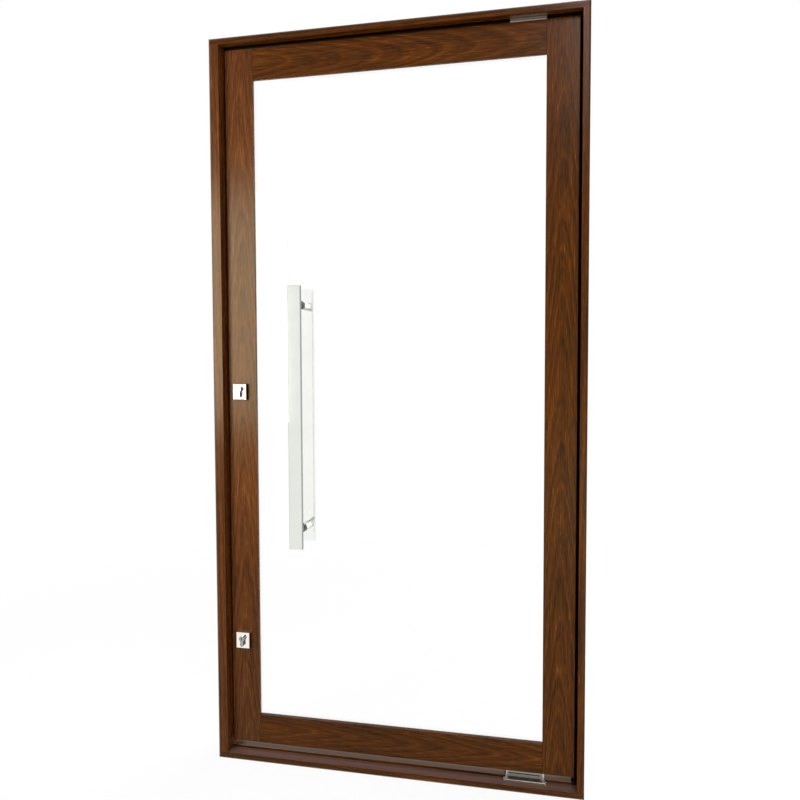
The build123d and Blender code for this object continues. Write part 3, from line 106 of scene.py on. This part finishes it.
def walnut(name, upright, heart, face, pith, taper, seed, tones, darker_arrises=0, painted_sheen=0, painted_shade_depth=None):
    """Varnished walnut for one board, with its own place in the log.

    The heart is where the middle of the arches lies across the board. The pith runs behind the
    board's face at this depth, and the taper is how fast the log thins along the board. The last
    three arguments are how much darker the routed arrises are made, how far the faces that look
    up are lightened towards a pale grey brown, a painted sheen, and the depth behind which faces
    that look down are painted near black, a painted shade in the gap above the leaf.
    """
    material, tree, shader = new_material(name)
    texture = add(tree, "ShaderNodeTexCoord")
    place = add(tree, "ShaderNodeSeparateXYZ", {"Vector": texture.outputs["Object"]}).outputs
    across, length = ("X", "Z") if upright else ("Z", "X")
    flat = add(
        tree,
        "ShaderNodeCombineXYZ",
        {"X": place[across], "Y": place["Y"], "Z": place[length]},
    )
    board = add(
        tree,
        "ShaderNodeVectorMath",
        {0: flat.outputs["Vector"], 1: (-heart, pith - face, seed)},
        operation="ADD",
    ).outputs["Vector"]

    # Noise in cells of a width across the grain and a length along it
    grain = {}
    for use, width, run, detail in (
        ("bend", BEND, BEND_LENGTH, 1.0),
        ("ripple", RIPPLE, RIPPLE_LENGTH, 2.0),
        ("streaks", STREAK, STREAK_LENGTH, 2.0),
        ("pores", PORE, PORE_LENGTH, 1.0),
        ("clouds", CLOUD, CLOUD_LENGTH, 2.0),
    ):
        cells = add(
            tree, "ShaderNodeMapping", {"Vector": board, "Scale": (1 / width, 1 / width, 1 / run)}
        )
        grain[use] = add(
            tree,
            "ShaderNodeTexNoise",
            {"Vector": cells.outputs["Vector"], "Scale": 1.0, "Detail": detail},
        ).outputs

    # The trunk bends slowly and ripples a little, which moves the pith under the face
    moved = board
    for use, reach in (("bend", BEND_REACH), ("ripple", RIPPLE_REACH)):
        centred = add(
            tree,
            "ShaderNodeVectorMath",
            {0: grain[use]["Color"], 1: (0.5, 0.5, 0.5)},
            operation="SUBTRACT",
        )
        moved = add(
            tree,
            "ShaderNodeVectorMath",
            {0: centred.outputs["Vector"], 1: (reach, reach, 0), 2: moved},
            operation="MULTIPLY_ADD",
        ).outputs["Vector"]
    beside = add(tree, "ShaderNodeVectorMath", {0: moved, 1: (1, 1, 0)}, operation="MULTIPLY")
    from_pith = add(
        tree, "ShaderNodeVectorMath", {0: beside.outputs["Vector"]}, operation="LENGTH"
    )
    radius = add(
        tree,
        "ShaderNodeMath",
        {0: place[length], 1: taper, 2: from_pith.outputs["Value"]},
        operation="MULTIPLY_ADD",
    ).outputs["Value"]

    # Tones that change only from ring to ring
    rings = {}
    for use, width, detail in (("uneven", UNEVEN_RING, 1.0), ("fine", FINE_RING, 2.0)):
        rings[use] = add(
            tree,
            "ShaderNodeTexNoise",
            {"W": radius, "Scale": 1 / width, "Detail": detail},
            noise_dimensions="1D",
        ).outputs["Fac"]

    # A band starts at a thin dark line, turns golden at once and darkens slowly to the next
    turns = add(
        tree,
        "ShaderNodeMath",
        {0: radius, 1: 1 / RING, 2: rings["uneven"]},
        operation="MULTIPLY_ADD",
    )
    share = add(tree, "ShaderNodeMath", {0: turns.outputs["Value"]}, operation="FRACT")
    band = add(
        tree,
        "ShaderNodeValToRGB",
        {"Fac": share.outputs["Value"]},
        [
            (0.0, "#606060"),
            (0.08, "#000000"),
            (0.20, "#707070"),
            (0.36, "#e6e6e6"),
            (0.66, "#b4b4b4"),
            (1.0, "#6c6c6c"),
        ],
    ).outputs["Color"]

    # The figure is the sum of all of these, spread over the board's four tones
    figure = 0.0
    for source, weight in (
        (band, 0.24),
        (rings["fine"], 0.32),
        (grain["streaks"]["Fac"], 0.52),
        (grain["pores"]["Fac"], 0.68),
        (grain["clouds"]["Fac"], 0.42),
    ):
        figure = add(
            tree, "ShaderNodeMath", {0: source, 1: weight, 2: figure}, operation="MULTIPLY_ADD"
        ).outputs["Value"]
    level = add(
        tree,
        "ShaderNodeMapRange",
        {"Value": figure, "From Min": DARKEST_FIGURE, "From Max": PALEST_FIGURE},
    )
    colour = add(
        tree,
        "ShaderNodeValToRGB",
        {"Fac": level.outputs["Result"]},
        list(zip(TONE_STOPS, tones)),
    ).outputs["Color"]
    # The routed arrises are made darker by the given share
    if darker_arrises:
        # The arrises look along none of the three axes: at 45 degrees the most is 0.71
        facing = add(
            tree, "ShaderNodeVectorMath", {0: texture.outputs["Normal"]}, operation="ABSOLUTE"
        )
        axes = add(tree, "ShaderNodeSeparateXYZ", {"Vector": facing.outputs["Vector"]}).outputs
        most = axes["X"]
        for axis in (axes["Y"], axes["Z"]):
            most = add(
                tree, "ShaderNodeMath", {0: most, 1: axis}, operation="MAXIMUM"
            ).outputs["Value"]
        kept = add(
            tree,
            "ShaderNodeMapRange",
            {"Value": most, "From Min": ARRIS, "From Max": FLAT_FACE, "To Min": 1 - darker_arrises},
        )
        colour = add(
            tree,
            "ShaderNodeVectorMath",
            {0: colour, 3: kept.outputs["Result"]},
            operation="SCALE",
        ).outputs["Vector"]
    # Painted sheen: faces that look up are lightened towards a pale grey brown
    if painted_sheen:
        up = add(tree, "ShaderNodeSeparateXYZ", {"Vector": texture.outputs["Normal"]}).outputs["Z"]
        sheen_share = add(
            tree,
            "ShaderNodeMapRange",
            {"Value": up, "From Min": UP_A_LITTLE, "From Max": UP_FULLY, "To Max": painted_sheen},
        )
        colour = add(
            tree,
            "ShaderNodeMix",
            {0: sheen_share.outputs["Result"], 6: colour, 7: SHEEN_TONE},
            data_type="RGBA",
        ).outputs[2]
    # Painted shade: faces that look down behind the given depth are painted near black
    if painted_shade_depth is not None:
        up = add(tree, "ShaderNodeSeparateXYZ", {"Vector": texture.outputs["Normal"]}).outputs["Z"]
        under = add(tree, "ShaderNodeMath", {0: up, 1: DOWN}, operation="LESS_THAN")
        deep = add(tree, "ShaderNodeMath", {0: place["Y"], 1: painted_shade_depth}, operation="GREATER_THAN")
        paint = add(
            tree,
            "ShaderNodeMath",
            {0: under.outputs["Value"], 1: deep.outputs["Value"]},
            operation="MULTIPLY",
        )
        colour = add(
            tree,
            "ShaderNodeMix",
            {0: paint.outputs["Value"], 6: colour, 7: PAINTED_SHADE},
            data_type="RGBA",
        ).outputs[2]
    tree.links.new(colour, shader.inputs["Base Color"])
    rough = add(
        tree,
        "ShaderNodeMapRange",
        {"Value": grain["pores"]["Fac"], "To Min": VARNISH_SMOOTH, "To Max": VARNISH_ROUGH},
    )
    tree.links.new(rough.outputs["Result"], shader.inputs["Roughness"])
    relief = add(
        tree,
        "ShaderNodeMath",
        {0: grain["streaks"]["Fac"], 1: 0.5, 2: grain["pores"]["Fac"]},
        operation="MULTIPLY_ADD",
    )
    bump = add(
        tree,
        "ShaderNodeBump",
        {"Height": relief.outputs["Value"], "Strength": SOFT_BUMP, "Distance": GRAIN_RELIEF},
    )
    tree.links.new(bump.outputs["Normal"], shader.inputs["Normal"])
    shader.inputs["IOR"].default_value = 1.5
    shader.inputs["Specular IOR Level"].default_value = 0.17
    shader.inputs["Specular Tint"].default_value = linear("#fff8cc")
    return material


# From the dark ring lines to the golden hearts of the arches. The lock side is redder and a little
# darker, the darkness a painted shade against the key lamps on that side; the pivot side is more
# golden; the rails, head and sill are deeper, a painted shade against the lamps that reach them.
RED_TONES = ("#270f03", "#422108", "#562e0f", "#71421c")
GOLDEN_TONES = ("#200900", "#3c1b00", "#532800", "#784603")
DEEP_TONES = ("#1f0900", "#391900", "#4e2501", "#6c3c08")
FRAME_FACE, LEAF_FACE = -50 * MM, -20 * MM
UPRIGHT, LYING = True, False
for boards, sawn, tones, finish in (
    # Sawn is walnut's own upright, heart, face, pith, taper and seed, lengths in metres
    (
        ("frame_jamb_left",),
        (UPRIGHT, -0.60, FRAME_FACE, 0.020, 0.02, 3.1),
        RED_TONES,
        {"darker_arrises": 0.5},
    ),
    (
        ("frame_jamb_right", "jamb_stop"),
        (UPRIGHT, 0.60, FRAME_FACE, 0.020, 0.02, 7.7),
        GOLDEN_TONES,
        {},
    ),
    (
        ("frame_head",),
        (LYING, 2.26, FRAME_FACE, 0.020, 0.03, 23.0),
        DEEP_TONES,
        # Painted shade on the head's underside above the leaf
        {"darker_arrises": 0.5, "painted_shade_depth": -0.026},
    ),
    (
        ("frame_sill", "threshold_strip"),
        (LYING, -0.05, FRAME_FACE, 0.020, 0.03, 29.4),
        DEEP_TONES,
        # Painted sheen on the sill's top
        {"darker_arrises": 0.5, "painted_sheen": 0.6},
    ),
    (
        ("stile_left", "bead_left"),
        (UPRIGHT, -0.470, LEAF_FACE, 0.018, 0.10, 11.3),
        RED_TONES,
        {},
    ),
    (
        ("stile_right", "bead_right"),
        (UPRIGHT, 0.484, LEAF_FACE, 0.014, 0.105, 17.9),
        GOLDEN_TONES,
        {},
    ),
    (
        ("rail_top", "bead_top"),
        (LYING, 2.125, LEAF_FACE, 0.030, 0.13, 31.2),
        DEEP_TONES,
        {},
    ),
    (
        ("rail_bottom", "bead_bottom"),
        (LYING, 0.092, LEAF_FACE, 0.020, 0.11, 37.7),
        DEEP_TONES,
        {},
    ),
):
    dress(walnut("varnished_walnut_" + boards[0], *sawn, tones, **finish), *boards)


LINE_STRETCH = 60  # how many times longer than wide the lines of a metal are
POLISH_CLOUDS = 14.0  # per metre: the polish changes over about 70 mm
MARKS = {"From Min": 0.4, "From Max": 1.1}  # what the lines and half of the clouds add up to
ROUGH_SHARES = (0.75, 1.35)  # of the metal's own roughness
TONE_SHARES = {"To Min": 0.93, "To Max": 1.05}  # of its own brightness


def metal(name, colour, rough, line, along, depth, painted_side=None, behind=None):
    """A metal surface with lines or specks of a real spacing, and a slow change of polish.

    Where along names an axis, the lines run that way. Where a piece isn't one colour all over,
    the colour given after depth is painted on its faces that look sideways, a painted dark
    reflection, or behind is that of its part behind the glass.
    """
    material, tree, shader = new_material(name)
    texture = add(tree, "ShaderNodeTexCoord")
    place = texture.outputs["Object"]
    scale = [1 / (LINE_STRETCH * line) if axis == along else 1 / line for axis in "XYZ"]
    cells = add(tree, "ShaderNodeMapping", {"Vector": place, "Scale": scale})
    lines = add(
        tree, "ShaderNodeTexNoise", {"Vector": cells.outputs["Vector"], "Scale": 1.0, "Detail": 2.0}
    ).outputs["Fac"]
    cloud = add(
        tree, "ShaderNodeTexNoise", {"Vector": place, "Scale": POLISH_CLOUDS, "Detail": 3.0}
    ).outputs["Fac"]
    mixed = add(
        tree, "ShaderNodeMath", {0: cloud, 1: 0.5, 2: lines}, operation="MULTIPLY_ADD"
    ).outputs["Value"]
    spread = add(
        tree,
        "ShaderNodeMapRange",
        {
            "Value": mixed,
            **MARKS,
            "To Min": rough * ROUGH_SHARES[0],
            "To Max": rough * ROUGH_SHARES[1],
        },
    )
    tree.links.new(spread.outputs["Result"], shader.inputs["Roughness"])
    base = linear(colour)
    # Painted reflection: faces that look sideways get the darker colour given after depth
    if painted_side:
        sideways = add(tree, "ShaderNodeSeparateXYZ", {"Vector": texture.outputs["Normal"]})
        turned = add(tree, "ShaderNodeMath", {0: sideways.outputs["X"]}, operation="ABSOLUTE")
        base = add(
            tree,
            "ShaderNodeValToRGB",
            {"Fac": turned.outputs["Value"]},
            [(0.3, colour), (0.8, painted_side)],
        ).outputs["Color"]
    if behind:
        depth_in = add(tree, "ShaderNodeSeparateXYZ", {"Vector": place}).outputs["Y"]
        far = add(tree, "ShaderNodeMath", {0: depth_in, 1: 0.0}, operation="GREATER_THAN")
        base = add(
            tree,
            "ShaderNodeValToRGB",
            {"Fac": far.outputs["Value"]},
            [(0.0, colour), (1.0, behind)],
        ).outputs["Color"]
    value = add(tree, "ShaderNodeMapRange", {"Value": mixed, **MARKS, **TONE_SHARES})
    tint = add(
        tree, "ShaderNodeHueSaturation", {"Color": base, "Value": value.outputs["Result"]}
    )
    tree.links.new(tint.outputs["Color"], shader.inputs["Base Color"])
    bump = add(tree, "ShaderNodeBump", {"Height": lines, "Strength": SOFT_BUMP, "Distance": depth})
    tree.links.new(bump.outputs["Normal"], shader.inputs["Normal"])
    shader.inputs["Metallic"].default_value = 1.0
    return material


# Stainless steel flats, mirror polished on their broad faces and linished on the narrow ones: the
# faces show the pale room nearly whole, and the sides are painted grey, a painted dark reflection
# that reads as a grey line
dress(
    metal("polished_stainless", "#e6e9e1", 0.06, 0.4 * MM, "Z", 0.004 * MM, "#8f918c"),
    "handle_bar_front",
)
# The bar behind the glass is polished all over, and painted paler than the bar in front, painted
# light that leaves it almost lost against the pale room
dress(
    metal("polished_stainless_rear", "#f6f8f4", 0.06, 0.4 * MM, "Z", 0.004 * MM),
    "handle_bar_rear",
)
# Stainless steel posts, turned: painted dark grey in front of the glass, a painted shade that makes
# them read as dull dark rounds, and left bright behind it
dress(
    metal("stainless_painted_dark_in_front", "#4a4a43", 0.38, 0.3 * MM, None, 0.01 * MM, behind="#e6e9e1"),
    "handle_posts",
)
# Stainless steel studs through the glass, turned: plain and half bright
dress(metal("turned_stainless", "#d9dcda", 0.16, 0.3 * MM, None, 0.01 * MM), "handle_studs")
# Brushed stainless steel plates: fine lines along them, a grey sheen with no clear reflection
dress(
    metal("brushed_stainless_plates", "#a59e90", 0.34, 0.5 * MM, "X", 0.02 * MM),
    "bottom_pivot_plate",
)
# Brushed stainless steel shoes, cut from bar: duller than the plates, and painted darker, a painted
# shade from the leaf above them, with their sides painted darker still
dress(
    metal("brushed_stainless_shoes", "#8b8b82", 0.36, 0.5 * MM, "X", 0.02 * MM, "#5c5c55"),
    "bottom_shoe",
)
# Polished stainless steel fittings overhead: bright, as they lie in the head's own shade
dress(
    metal("polished_stainless_fittings", "#ece7dc", 0.30, 0.5 * MM, "X", 0.01 * MM),
    "top_pivot_plate",
    "top_shoe",
)
# Brushed stainless steel strips of the locks: lines along the stile
dress(
    metal("brushed_stainless_strips", "#b4b7b3", 0.32, 0.5 * MM, "Z", 0.02 * MM),
    "upper_faceplate",
    "lower_faceplate",
    "upper_strike_plate",
    "lower_strike_plate",
)
# Ground steel bolts and pins: even, fairly bright, with fine marks along the bolts
dress(
    metal("ground_steel", "#c6c6c2", 0.26, 0.4 * MM, "X", 0.02 * MM),
    "upper_bolt",
    "lower_bolt",
    "spring_catch",
    "pivot_pins",
)
# Chromed zinc escutcheons, cast and plated: near white faces with almost clear reflections, and
# sides painted as dark as the wood beside them, a painted reflection of that wood
dress(
    metal("chromed_zinc", "#f8f3ee", 0.05, 0.8 * MM, None, 0.004 * MM, "#3b352a"),
    "upper_rosettes",
    "lower_rosettes",
)
# Nickelled brass cylinders: a duller grey than the chrome round them, with flanks and slot sides
# painted dark, a painted shade
dress(
    metal("nickelled_brass", "#a4a8a1", 0.14, 0.4 * MM, "Y", 0.01 * MM, "#343a34"),
    "upper_cylinder",
    "lower_cylinder",
    "upper_plugs",
    "lower_plugs",
)
# Milled brass cams: plain yellow metal with tool marks
dress(metal("milled_brass", "#c8a766", 0.35, 0.6 * MM, None, 0.02 * MM), "upper_cam", "lower_cam")
# Sintered bronze bushes: brown, grainy and slightly oily
dress(metal("sintered_bronze", "#9a7442", 0.45, 0.5 * MM, None, 0.03 * MM), "pivot_bushes")
# Zinc-plated steel: pale bluish grey with a cloudy, half-dull shine
dress(
    metal("zinc_plated_steel", "#aeb3b4", 0.36, 0.7 * MM, None, 0.02 * MM),
    "corner_screws",
    "pivot_plate_screws",
    "shoe_screws",
    "faceplate_screws",
    "cylinder_screws",
    "strike_screws",
    "strike_boxes",
    "upper_lock_case",
    "lower_lock_case",
)


def polymer(name, dark, light, grain, rough, depth):
    """A dull moulded or tufted surface: two tones in a grain of a real size."""
    material, tree, shader = new_material(name)
    place = add(tree, "ShaderNodeTexCoord").outputs["Object"]
    speck = add(
        tree, "ShaderNodeTexNoise", {"Vector": place, "Scale": 1 / grain, "Detail": 3.0}
    ).outputs["Fac"]
    colour = add(tree, "ShaderNodeValToRGB", {"Fac": speck}, [(0.3, dark), (0.7, light)])
    tree.links.new(colour.outputs["Color"], shader.inputs["Base Color"])
    bump = add(tree, "ShaderNodeBump", {"Height": speck, "Strength": 0.4, "Distance": depth})
    tree.links.new(bump.outputs["Normal"], shader.inputs["Normal"])
    shader.inputs["Roughness"].default_value = rough
    shader.inputs["Specular IOR Level"].default_value = 0.08
    return material


# EPDM rubber, moulded and extruded: dull black with a faint mottle. The strip under the head is
# dressed in it too, a painted shade that reads as the black line in the gap above the leaf
dress(
    polymer("epdm_rubber", "#0b0b0b", "#1a1918", 0.8 * MM, 0.75, 0.03 * MM),
    "stop_seal",
    "end_pads",
    "glazing_seal_front",
    "glazing_seal_rear",
    "setting_blocks",
    "head_strip",
)
# Polypropylene pile of the brush seals: dense dark hairs that swallow light
dress(
    polymer("polypropylene_pile", "#050201", "#150903", 0.5 * MM, 1.0, 0.2 * MM),
    "brush_left",
    "brush_right",
    "brush_top",
)
# Natural nylon bushes, turned: milky white with a soft shine
dress(
    polymer("natural_nylon", "#cfcdc6", "#dfddd6", 1.5 * MM, 0.5, 0.02 * MM), "handle_bushes"
)

# Clear float glass: flat and colourless, with a faint draw wave in its reflections
DRAW_WAVES = 3.0  # per metre: the faces wander over about 330 mm
glass, tree, shader = new_material("float_glass")
place = add(tree, "ShaderNodeTexCoord").outputs["Object"]
wave = add(tree, "ShaderNodeTexNoise", {"Vector": place, "Scale": DRAW_WAVES, "Detail": 1.0})
bump = add(
    tree,
    "ShaderNodeBump",
    {"Height": wave.outputs["Fac"], "Strength": 0.05, "Distance": 0.2 * MM},
)
tree.links.new(bump.outputs["Normal"], shader.inputs["Normal"])
shader.inputs["Base Color"].default_value = linear("#ffffff")
shader.inputs["Roughness"].default_value = 0.0
shader.inputs["IOR"].default_value = 1.5
shader.inputs["Transmission Weight"].default_value = 1.0
dress(glass, "glass_pane")

# Floor: pale studio paper, seen white, that keeps a little of the door's shadow
FLOOR = 8.0  # half its side
NEAR, FAR = 0.8, 3.2  # from the door's middle: the floor is nearly white, and plain white
NEARLY_WHITE = 0.92  # the share of white there, which leaves the rest to the door's shadow
floor_mesh = bpy.data.meshes.new("studio_floor")
corners = [(x * FLOOR, y * FLOOR, 0) for x, y in ((-1, -1), (1, -1), (1, 1), (-1, 1))]
floor_mesh.from_pydata(corners, [], [(0, 1, 2, 3)])
floor = bpy.data.objects.new("studio_floor", floor_mesh)
scene.collection.objects.link(floor)
paper, tree, shader = new_material("studio_paper")
place = add(tree, "ShaderNodeTexCoord").outputs["Object"]
fibre = add(tree, "ShaderNodeTexNoise", {"Vector": place, "Scale": 40.0, "Detail": 2.0})
colour = add(
    tree,
    "ShaderNodeValToRGB",
    {"Fac": fibre.outputs["Fac"]},
    [(0.3, "#efefee"), (0.7, "#f4f4f3")],
)
tree.links.new(colour.outputs["Color"], shader.inputs["Base Color"])
shader.inputs["Roughness"].default_value = 0.9
shader.inputs["Specular IOR Level"].default_value = 0.1
away = add(tree, "ShaderNodeVectorMath", {0: place}, operation="LENGTH").outputs["Value"]
bright = add(
    tree,
    "ShaderNodeMapRange",
    {"Value": away, "From Min": NEAR, "From Max": FAR, "To Min": NEARLY_WHITE, "To Max": 1.0},
)
share = add(
    tree, "ShaderNodeMath", {0: seen_rays(tree), 1: bright.outputs["Result"]}, operation="MULTIPLY"
)
glow = add(tree, "ShaderNodeEmission", {"Color": (1, 1, 1, 1), "Strength": 1.0})
blend = add(
    tree,
    "ShaderNodeMixShader",
    {0: share.outputs["Value"], 1: shader.outputs["BSDF"], 2: glow.outputs["Emission"]},
)
tree.links.new(blend.outputs["Shader"], tree.nodes["Material Output"].inputs["Surface"])
dress(paper, floor)

# World: a soft studio for the light, plain white where it is seen
STUDIO_LIGHT = 0.22  # dim beside the lamps, so that their reflections stand out
world = bpy.data.worlds.new("studio")
scene.world = world
world.use_nodes = True
tree = world.node_tree
tree.nodes.clear()
soft_light = add(
    tree, "ShaderNodeBackground", {"Color": linear("#f4f6f8"), "Strength": STUDIO_LIGHT}
)
white = add(tree, "ShaderNodeBackground", {"Color": (1, 1, 1, 1), "Strength": 1.0})
both = add(
    tree,
    "ShaderNodeMixShader",
    {0: seen_rays(tree), 1: soft_light.outputs["Background"], 2: white.outputs["Background"]},
)
add(tree, "ShaderNodeOutputWorld", {"Surface": both.outputs["Shader"]})


def lamp(name, place, aim, size, power, colour="#ffffff"):
    """A soft rectangular lamp, aimed at a point and seen only in reflections."""
    data = bpy.data.lights.new(name, "AREA")
    data.shape = "RECTANGLE"
    data.size, data.size_y = size
    data.energy = power
    data.color = linear(colour)[:3]
    piece = bpy.data.objects.new(name, data)
    piece.location = place
    piece.rotation_euler = (Vector(aim) - Vector(place)).to_track_quat("-Z", "Y").to_euler()
    piece.visible_camera = piece.visible_transmission = False
    scene.collection.objects.link(piece)


# The key lamps' reflections are the pale sheen on the lock side, with the upper escutcheon in the
# gap between them, and the high lamp's is the one at the top of the pivot side
KEY_FRONT, KEY_HEIGHT, KEY_LENGTH = -1.2, 1.495, 1.09
for name, across, width, power in (
    ("key_softbox", -1.288, 0.456, 25.0),
    ("key_strip", -0.876, 0.182, 10.0),
):
    place, aim = (across, KEY_FRONT, KEY_HEIGHT), (across, 0, KEY_HEIGHT)
    lamp(name, place, aim, (width, KEY_LENGTH), power, "#fffafa")
lamp("high_softbox", (1.0, -1.6, 2.85), (0.3, 0, 1.4), (0.8, 0.8), 33, "#dcd6ff")
lamp("low_softbox", (1.3, -2.2, 0.45), (-0.1, 0, 0.5), (0.8, 0.6), 28)
lamp("rear_softbox", (0.8, 2.4, 4.3), (0, 0, 1.0), (2.0, 1.2), 110)
lamp("rear_side_softbox", (2.7, 2.4, 1.5), (0, 0, 1.1), (1.2, 1.6), 95)

# Camera: a 33.4 mm lens at the height and side that the frame's edges converge from
EYE = (0.4877, -2.1428, 1.2293)
FOCAL_PIXELS, FRAME_PIXELS, SENSOR = 742.9, 800, 36.0
YAW, PITCH, ROLL = math.radians(12.363), math.radians(-2.795), math.radians(0.175)
turn = Matrix.Rotation(YAW, 3, "Z") @ Matrix.Rotation(PITCH, 3, "X") @ Matrix.Rotation(ROLL, 3, "Y")
right, forward, up = turn.col[0], turn.col[1], turn.col[2]
camera_data = bpy.data.cameras.new("camera")
camera_data.sensor_width = SENSOR
camera_data.lens = FOCAL_PIXELS / FRAME_PIXELS * SENSOR
camera = bpy.data.objects.new("camera", camera_data)
scene.collection.objects.link(camera)
camera.matrix_world = Matrix.Translation(EYE) @ Matrix(
    (
        (right.x, up.x, -forward.x),
        (right.y, up.y, -forward.y),
        (right.z, up.z, -forward.z),
    )
).to_4x4()
scene.camera = camera
